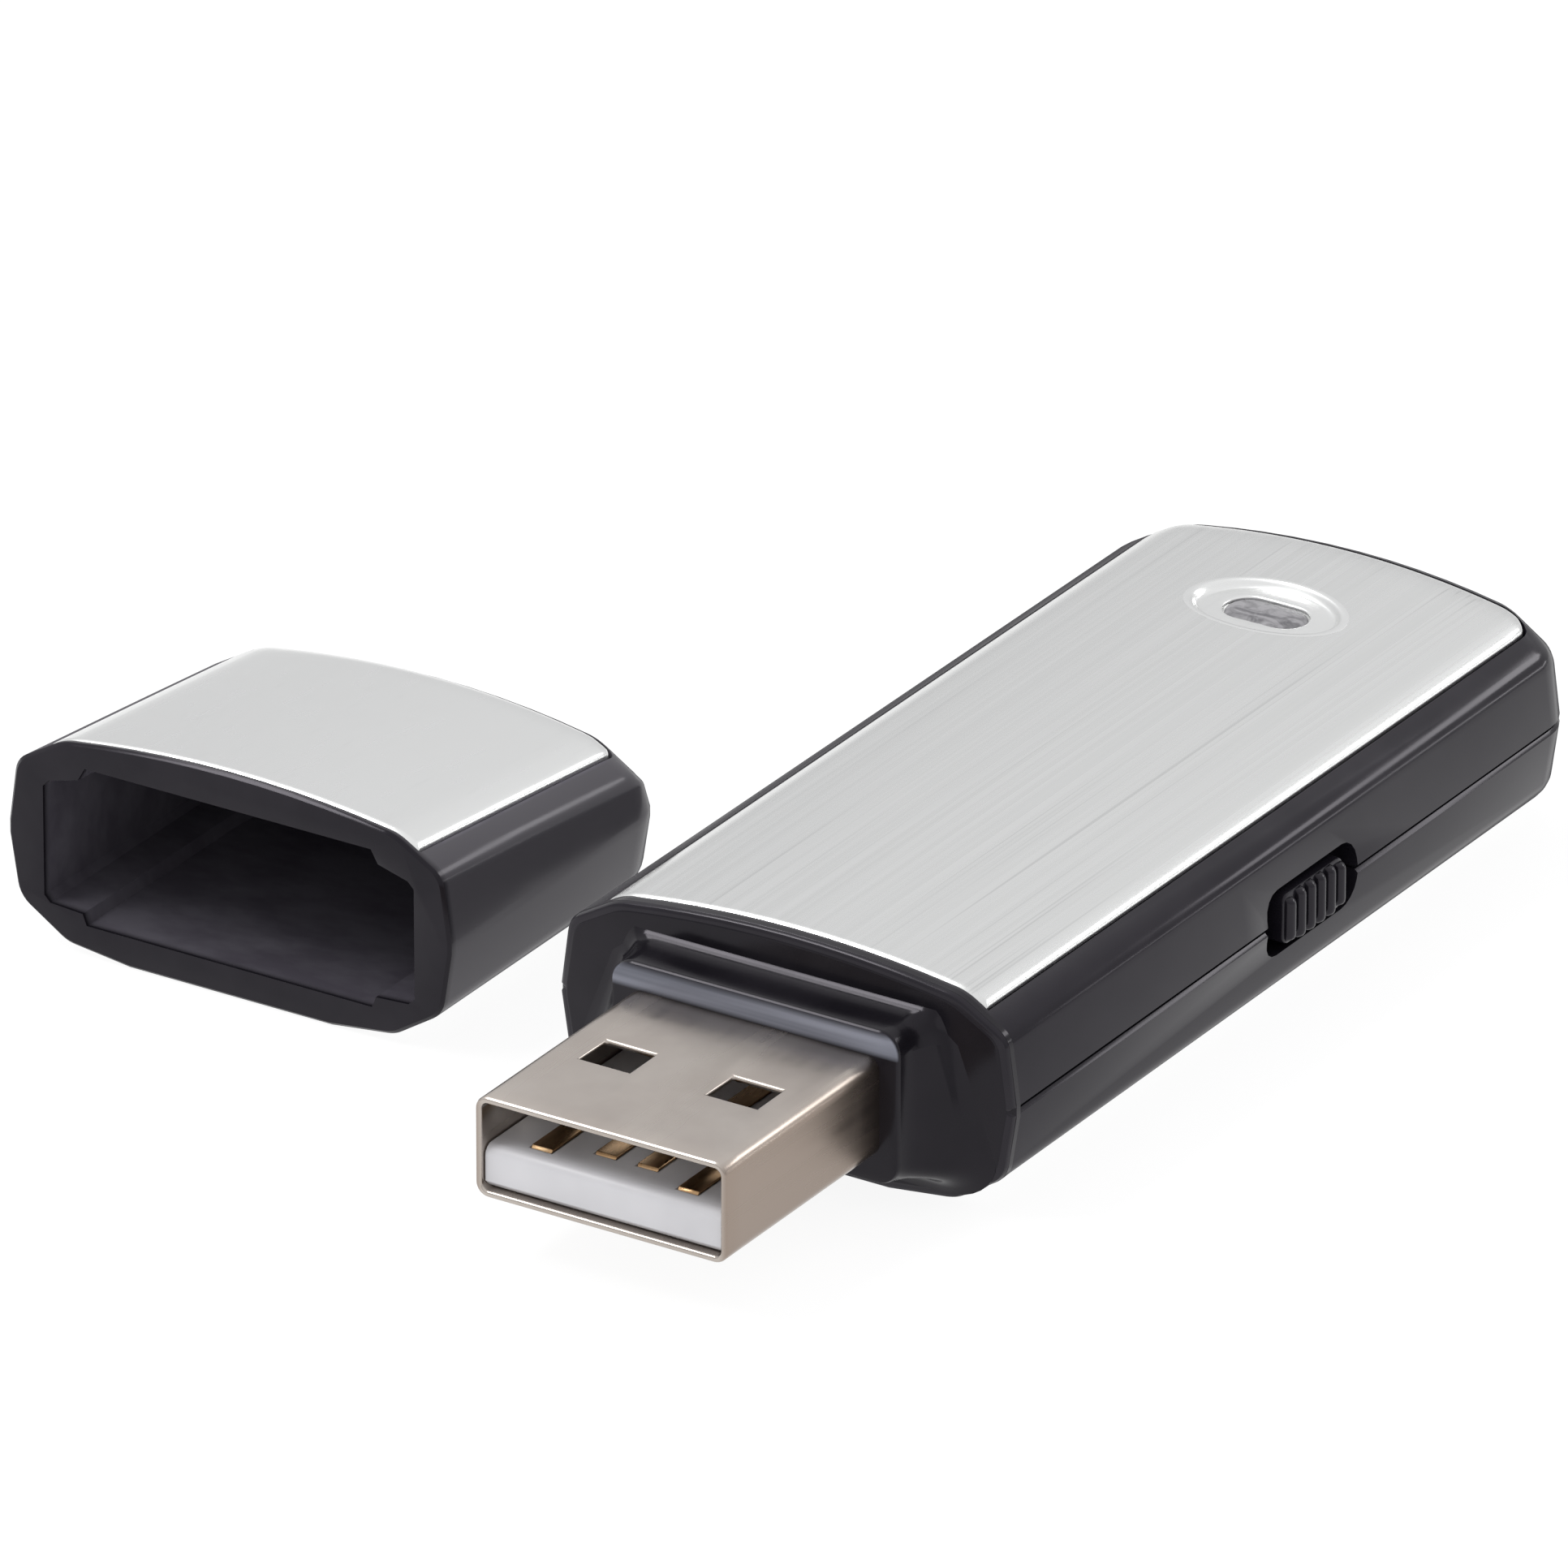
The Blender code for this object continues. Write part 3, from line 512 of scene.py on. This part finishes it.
def stretch(low, high, step, fine=None):
    """Numbers from low to high, a step apart, or a finer step inside the fine range."""
    out, here = [low], low
    while here < high - 1e-6:
        near = fine and fine[0] <= here < fine[1]
        goal = here + (fine[2] if near else step)
        if fine and here < fine[0] < goal:
            goal = fine[0]
        here = min(goal, high)
        out.append(here)
    if len(out) > 2 and out[-1] - out[-2] < 0.4 * step:
        out.pop(-2)
    return out


def dish_drop(x, y):
    """How far the plate is let down at (x, y), out of sight under the dish."""
    r = sqrt((x / (DISH_L / 2)) ** 2 + ((y - WINDOW_Y) / (DISH_W / 2)) ** 2)
    return UNDER_DISH * (1 - ease(r, 0.93, 0.985))


def plate(name, node, look, body, length, fall, front, back, dx, dy, dish):
    """A crowned sheet with rolled edges and round far corners; dish leaves room for the dish."""
    edge = [0.0, 0.03, 0.07, 0.12, 0.18, 0.24, 0.30, 0.36]
    fine_x = (-3.8, 3.8, 0.11) if dish else None
    fine_y = (WINDOW_Y - 2.7, WINDOW_Y + 2.7, 0.09) if dish else None
    y0, y1, r = front, length - back, (CAP_PLATE_CORNER if length == CAP_L else PLATE_CORNER)
    ys = [y0 + e for e in edge[:-1]] + stretch(y0 + edge[-1], y1 - r, 0.5, fine_y)
    ys += [y1 - r * (1 - sin(radians(a))) for a in (12, 24, 36, 47, 57, 66, 74, 82)] + [y1]
    inner = stretch(-PLATE_HALF + edge[-1], PLATE_HALF - edge[-1], 0.45, fine_x)
    xs = [-PLATE_HALF + e for e in edge[:-1]] + inner + [PLATE_HALF - e for e in reversed(edge[:-1])]
    rows = []
    for y in ys:
        into = max(0.0, (y - (y1 - r)) / r)
        reach = PLATE_HALF - r * (1 - sqrt(max(0.0, 1 - into * into)))
        row = []
        for x in xs:
            here = x * reach / PLATE_HALF
            z, normal = skin(here)
            d = min(reach - abs(here), y - y0, y1 - y)
            low = PLATE_ROLL - sqrt(PLATE_ROLL**2 - (PLATE_ROLL - min(d, PLATE_ROLL)) ** 2)
            low = min(low, 0.8 * PLATE_ROLL) - PLATE_PROUD
            sink = dish_drop(here, y) if dish else 0.0
            outer = (here - normal.x * low, z - normal.y * low - sink)
            under = (here - normal.x * PLATE_THICK, z - normal.y * PLATE_THICK - sink)
            pair = []
            for px, pz in (outer, under):
                sx, sy, sz = shaped(px, y, pz, length, fall)
                pair.append((sx + dx, sy + dy, sz + BOTTOM_H))
            row.append(tuple(pair))
        rows.append(row)
    return new_piece(name, *grid_to_mesh(rows), look, body, node, smooth=48.0)


def dish():
    """The stamped dish: an oval ring with a crisp wall, a satin floor and the lens's slot."""
    run = (WINDOW_L - WINDOW_W) / 2
    turns = [radians(a * 3) for a in range(120)]

    def oval(a, r):
        return r * DISH_L / 2 * cos(a), r * DISH_W / 2 * sin(a)

    def stadium(a, grow):
        """The lens's round-ended outline, grown, where the oval's spoke at a crosses it."""
        r = WINDOW_W / 2 + grow
        x, y = oval(a, 1.0)
        reach = Vector((x, y)).normalized()
        best = r / max(abs(reach.y), 1e-6)
        if best * abs(reach.x) > run:
            near = abs(reach.x) * run
            best = near + sqrt(max(near**2 - run**2 + r**2, 0.0))
        return reach.x * best, reach.y * best

    rings = [[(*oval(a, r), drop) for a in turns] for r, drop in DISH_RIM]
    rings += [[(*stadium(a, grow), drop) for a in turns] for grow, drop in DISH_SLOT]
    verts = []
    for side in (0.0, DISH_SKIN):
        for ring in rings:
            for x, y, drop in ring:
                z, normal = skin(x)
                sx, sy, sz = shaped(x, y + WINDOW_Y, z - drop - side, LENGTH, TOP_FALL)
                verts.append((sx, sy + FRONT_Y, sz + BOTTOM_H))
    n, m = len(rings), len(turns)
    faces = []
    for r in range(n - 1):
        for i in range(m):
            j = (i + 1) % m
            for base in (r * m, (n + r) * m):
                faces.append((base + i, base + j, base + m + j, base + m + i))
    for r in (0, n - 1):
        for i in range(m):
            j = (i + 1) % m
            faces.append((r * m + i, r * m + j, n * m + r * m + j, n * m + r * m + i))
    return new_piece("dish_ring", verts, faces, SATIN, "drive", smooth=50.0)


def round_ring(half_x, low, high, r, grow=0.0, steps=8):
    """A rectangle with corners of radius r, each pushed out by grow."""
    ring = []
    for cx, cz, turn in (
        (half_x - r, high - r, 0), (-half_x + r, high - r, 90),
        (-half_x + r, low + r, 180), (half_x - r, low + r, 270),
    ):
        for k in range(steps + 1):
            a = radians(turn + 90 * k / steps)
            ring.append((cx + (r + grow) * cos(a), cz + (r + grow) * sin(a)))
    return ring


def plug_tube():
    """The plug's rolled shell: soft corners, a turned front rim and four latch windows."""
    top, r = PLUG_TOP_Z, PLUG_CORNER
    low, middle = top - PLUG_H, top - PLUG_H / 2
    tip, tail = PLUG_BACK_Y - PLUG_OUT, FRONT_Y + PLUG_IN
    gates = [-LATCH_X - LATCH_L / 2, -LATCH_X + LATCH_L / 2, LATCH_X - LATCH_L / 2, LATCH_X + LATCH_L / 2]
    across = [-4.9] + gates[:2] + [-1.2, 0.0, 1.2] + gates[2:] + [4.9]

    def corner(cx, cz, turn):
        for k in range(9):
            a = radians(turn + 90 * k / 8)
            outer = (cx + r * cos(a), cz + r * sin(a))
            yield (*outer, cx + (r - PLUG_WALL) * cos(a), cz + (r - PLUG_WALL) * sin(a))

    # the section, all round, as (outer x, outer z, inner x, inner z)
    ring = [
        *((x, top, x, top - PLUG_WALL) for x in reversed(across)),
        *corner(-PLUG_HALF + r, top - r, 90),
        (-PLUG_HALF, middle, -PLUG_HALF + PLUG_WALL, middle),
        *corner(-PLUG_HALF + r, low + r, 180),
        *((x, low, x, low + PLUG_WALL) for x in across),
        *corner(PLUG_HALF - r, low + r, 270),
        (PLUG_HALF, middle, PLUG_HALF - PLUG_WALL, middle),
        *corner(PLUG_HALF - r, top - r, 0),
    ]
    near, far = tip + LATCH_BACK - LATCH_W / 2, tip + LATCH_BACK + LATCH_W / 2
    rows = [(tip + behind, turn) for behind, turn in PLUG_RIM]
    rows += [(near, 0.0), (far, 0.0), (far + 2.0, 0.0), (tail, 0.0)]
    m, n = len(ring), len(rows)
    verts = []
    for side in (0, 1):
        for y, turn in rows:
            for ox, oz, ix, iz in ring:
                outer, inner = Vector((ox, oz)), Vector((ix, iz))
                here, over = (outer, inner) if side == 0 else (inner, outer)
                x, z = here.lerp(over, turn / PLUG_WALL)
                verts.append((x, y, z))

    def at(side, row, k):
        return side * n * m + row * m + k % m

    def is_gate(row, k):
        a, b = ring[k % m], ring[(k + 1) % m]
        flat = a[1] == b[1] and a[1] in (top, low)
        return rows[row][0] == near and flat and abs(abs(a[0] + b[0]) / 2 - LATCH_X) < LATCH_L / 2

    faces = []
    for row in range(n - 1):
        for k in range(m):
            if is_gate(row, k):
                loop = [(row, k), (row, k + 1), (row + 1, k + 1), (row + 1, k)]
                for (r0, k0), (r1, k1) in zip(loop, loop[1:] + loop[:1]):
                    faces.append((at(0, r0, k0), at(0, r1, k1), at(1, r1, k1), at(1, r0, k0)))
            else:
                for s in (0, 1):
                    faces.append((at(s, row, k), at(s, row, k + 1), at(s, row + 1, k + 1), at(s, row + 1, k)))
    for row in (0, n - 1):
        for k in range(m):
            faces.append((at(0, row, k), at(0, row, k + 1), at(1, row, k + 1), at(1, row, k)))
    return new_piece("plug_rolled", verts, faces, STEEL, "drive", "plug_shell", smooth=35.0, bevel=PLUG_BEVEL)


def case_ring(shrink):
    """The case's whole section, drawn in a little, as (x, z) above the table."""
    flat = [(0.0, -BOTTOM_H, 0), (FLAT_HALF, -BOTTOM_H, 0)]
    bottom = rounded(flat + list(reversed(SECTION_BOTTOM)) + [(HALF_W, -0.3, 0)])
    right = TOP_RUN + list(reversed(bottom))
    ring = right + [(-x, z) for x, z in reversed(right) if x > 0]
    return [(x * (1 - shrink / HALF_W), BOTTOM_H + z * (1 - shrink / TOP_H)) for x, z in ring]


def collar():
    """The soft-edged collar behind the plug, and the fascia it is moulded with."""
    rings = []
    for y, grow in COLLAR:
        top = COLLAR_TOP_Z + 0.35 * grow if grow > 0 else COLLAR_TOP_Z + 1
        ramp = 0.30 * ease(y, -COLLAR_OUT + 0.25, 0.1)
        ring = []
        for x, z in round_ring(COLLAR_HALF, COLLAR_BOTTOM_Z, COLLAR_TOP_Z, 1.0, grow):
            # the sides ramp out into the front face, but not near the top
            widen = 1 + ramp * (1 - ease(z, COLLAR_TOP_Z - 2.2, COLLAR_TOP_Z - 0.5))
            ring.append((x * widen, FRONT_Y + y, min(z, top)))
        rings.append(ring)
    verts, faces = rings_to_mesh(rings)
    fascia = [[(x, FRONT_Y + y, z) for x, z in case_ring(shrink)] for y, shrink in FASCIA]
    more, other = rings_to_mesh(fascia)
    faces += [tuple(i + len(verts) for i in face) for face in other]
    verts += more
    return new_piece("collar_fascia", verts, faces, COLLAR_PLASTIC, "drive", "plug_collar", smooth=30.0)


def knob():
    """The slide's knob: rounded ribs on a body, and the flange that closes the slot behind it."""
    verts, faces = [], []

    def add(part):
        base = len(verts)
        verts.extend(part[0])
        faces.extend(tuple(i + base for i in face) for face in part[1])

    def block(x0, x1, y0, y1, z0, z1, r):
        rings = []
        cy, cz = (y0 + y1) / 2, (z0 + z1) / 2
        for x, inset in ((x0, 0.0), (x1 - 0.12, 0.0), (x1 - 0.04, 0.03), (x1, 0.12)):
            half, high = (y1 - y0) / 2 - inset, (z1 - z0) / 2 - inset
            ring = round_ring(half, -high, high, max(r - inset, 0.04), steps=5)
            rings.append([(x, cy + u, cz + v) for u, v in ring])
        add(rings_to_mesh(rings))

    low, high = BOTTOM_H - KNOB_H / 2, BOTTOM_H + KNOB_H / 2
    y0, y1 = KNOB_Y - KNOB_L / 2, KNOB_Y + KNOB_L / 2
    block(8.55, 9.20, y0 - 2.3, y1 + 2.3, BOTTOM_H - 2.1, BOTTOM_H + 1.9, 0.2)
    foot = KNOB_FACE - RIB_HIGH
    block(9.0, foot, y0, y1, low, high, 0.45)
    pitch = KNOB_L / KNOB_RIBS
    for k in range(KNOB_RIBS):
        middle, half = y0 + (k + 0.5) * pitch, pitch * RIB_WIDE
        reach = KNOB_H / 2 - (0.18 if k in (0, KNOB_RIBS - 1) else 0.03)
        rings = []
        for z, size in RIB:
            ring = [(foot - 0.16, middle - half), (foot - 0.16, middle + half)]
            for a in range(0, 181, 15):
                out, over = RIB_HIGH * size * sin(radians(a)), half * cos(radians(a)) * (0.55 + 0.45 * size)
                ring.append((foot + out, middle + over))
            rings.append([(x, y, BOTTOM_H + z * reach) for x, y in ring])
        add(rings_to_mesh(rings))
    return new_piece("knob_ribbed", verts, faces, PLASTIC, "switch_knob", "switch_knob", smooth=38.0)


plate("top_plate_stamped", "top_plate", ALUMINIUM, "drive",
      LENGTH, TOP_FALL, PLATE_FRONT, PLATE_BACK, 0.0, FRONT_Y, dish=True)
plate("cap_plate_rolled", "cap_top_plate", SATIN, "cap",
      CAP_L, CAP_FALL, CAP_PLATE_FRONT, CAP_PLATE_BACK, CAP_X, CAP_FRONT_Y, dish=False)
dish()
collar()
plug_tube()
knob()


def soften(item, width):
    """Rounds the sharp edges of a carried-over node by modifiers; its points stay as they are."""
    mesh = item.data
    if mesh.has_custom_normals:
        mesh.attributes.remove(mesh.attributes["custom_normal"])
    for polygon in mesh.polygons:
        polygon.use_smooth = True
    weld = item.modifiers.new("weld", "WELD")
    weld.merge_threshold = 2e-6
    bevel = item.modifiers.new("bevel", "BEVEL")
    bevel.width, bevel.segments = width * MM, 3
    bevel.limit_method, bevel.angle_limit = "ANGLE", radians(38)
    edges = item.modifiers.new("edges", "EDGE_SPLIT")
    edges.split_angle = radians(34)


# rounding of the nodes' edges, in millimetres
BEVELS = {"upper_case": 0.06, "lower_case": 0.06, "cap_shell": 0.10, "plug_tongue": 0.05}
SMALL_BEVEL = 0.04
for look, names in LOOKS.items():
    for name in names:
        nodes[name].data.materials.clear()
        nodes[name].data.materials.append(look)
        soften(nodes[name], BEVELS.get(name, SMALL_BEVEL))


# ---- floor, light and camera ----------------------------------------------------------
FLOOR_GLOW = 0.91              # the floor is nearly all glow, so that shadows on it stay faint
FLOOR_RADIUS, FLOOR_DROP = 3.0, 0.00002
SKY_LOW, SKY_HIGH, SKY_STRENGTH = (0.70, 0.70, 0.71, 1), (1.02, 1.02, 1.03, 1), 0.95
LIGHT_AIM = Vector((0.0, 0.0, 0.005))
# name: direction it stands in, distance, size, power
LIGHTS = {
    "overhead": ((-0.48, -0.02, 0.88), 0.6, (0.30, 0.20), 1.3),         # above, to the left
    "shoulder": ((0.44, 0.76, 0.49), 0.5, (0.30, 0.08), 0.35),          # behind, to the right
    "front_top": ((-0.48, -0.41, 0.76), 0.6, (0.16, 0.16), 0.9),        # above, in front and to the left
    "low_strip": ((0.66, 0.76, 0.13), 0.5, (0.35, 0.02), 0.10),         # low behind, to the right
}


def floor():
    look = Look("pale_floor", (0.09, 0.09, 0.09), 0.85, 0.0,
                Emission_Color=(1, 1, 1, 1), Emission_Strength=FLOOR_GLOW)
    tint = look.noise((3, 3, 3), 2.0)
    look.colour(look.mix(look.spread(tint, 0.3, 0.7), (0.088, 0.088, 0.088), (0.092, 0.092, 0.092)))
    bm = bmesh.new()
    bmesh.ops.create_circle(bm, cap_ends=True, segments=96, radius=FLOOR_RADIUS)
    mesh = bpy.data.meshes.new("floor")
    bm.to_mesh(mesh)
    bm.free()
    item = bpy.data.objects.new("floor", mesh)
    item.location.z = -FLOOR_DROP
    mesh.materials.append(look.material)
    scene.collection.objects.link(item)


def area_light(name, direction, distance, size, power):
    data = bpy.data.lights.new(name, "AREA")
    data.shape = "RECTANGLE"
    data.size, data.size_y = size
    data.energy = power
    item = bpy.data.objects.new(name, data)
    item.location = LIGHT_AIM + Vector(direction).normalized() * distance
    item.rotation_euler = (LIGHT_AIM - item.location).to_track_quat("-Z", "Y").to_euler()
    item.visible_camera = False
    scene.collection.objects.link(item)


def sky():
    """An even white studio, a little dimmer towards the horizon."""
    world = bpy.data.worlds.new("studio")
    scene.world = world
    world.use_nodes = True
    tree = world.node_tree
    back = tree.nodes["Background"]
    coords = tree.nodes.new("ShaderNodeTexCoord")
    split = tree.nodes.new("ShaderNodeSeparateXYZ")
    ramp = tree.nodes.new("ShaderNodeValToRGB")
    low, high = ramp.color_ramp.elements
    low.position, low.color = 0.0, SKY_LOW
    high.position, high.color = 0.75, SKY_HIGH
    tree.links.new(coords.outputs["Generated"], split.inputs["Vector"])
    tree.links.new(split.outputs["Z"], ramp.inputs["Fac"])
    tree.links.new(ramp.outputs["Color"], back.inputs["Color"])
    back.inputs["Strength"].default_value = SKY_STRENGTH


CAMERA_AZ, CAMERA_EL = radians(32.42), radians(25.72)
ACROSS = Vector((cos(CAMERA_AZ), sin(CAMERA_AZ), 0.0))
BACK = Vector((sin(CAMERA_AZ) * cos(CAMERA_EL), -cos(CAMERA_AZ) * cos(CAMERA_EL), sin(CAMERA_EL)))
UP = BACK.cross(ACROSS)
CAMERA_AIM = Vector((-5.0, -6.6, 4.0)) * MM + ACROSS * -0.0044 + UP * 0.00467
VIEW_WIDTH, DISTANCE, SENSOR = 0.06459, 1.0, 36.0               # metres, metres, millimetres


def camera():
    """A long lens from far off, for a nearly parallel view."""
    data = bpy.data.cameras.new("camera")
    data.sensor_width = SENSOR
    data.lens = SENSOR * DISTANCE / VIEW_WIDTH
    data.clip_start, data.clip_end = 0.01, 20.0
    item = bpy.data.objects.new("camera", data)
    item.location = CAMERA_AIM + BACK * DISTANCE
    item.rotation_euler = BACK.to_track_quat("Z", "Y").to_euler()
    scene.collection.objects.link(item)
    scene.camera = item


floor()
sky()
for name, values in LIGHTS.items():
    area_light(name, *values)
camera()
scene.view_settings.view_transform = "Standard"
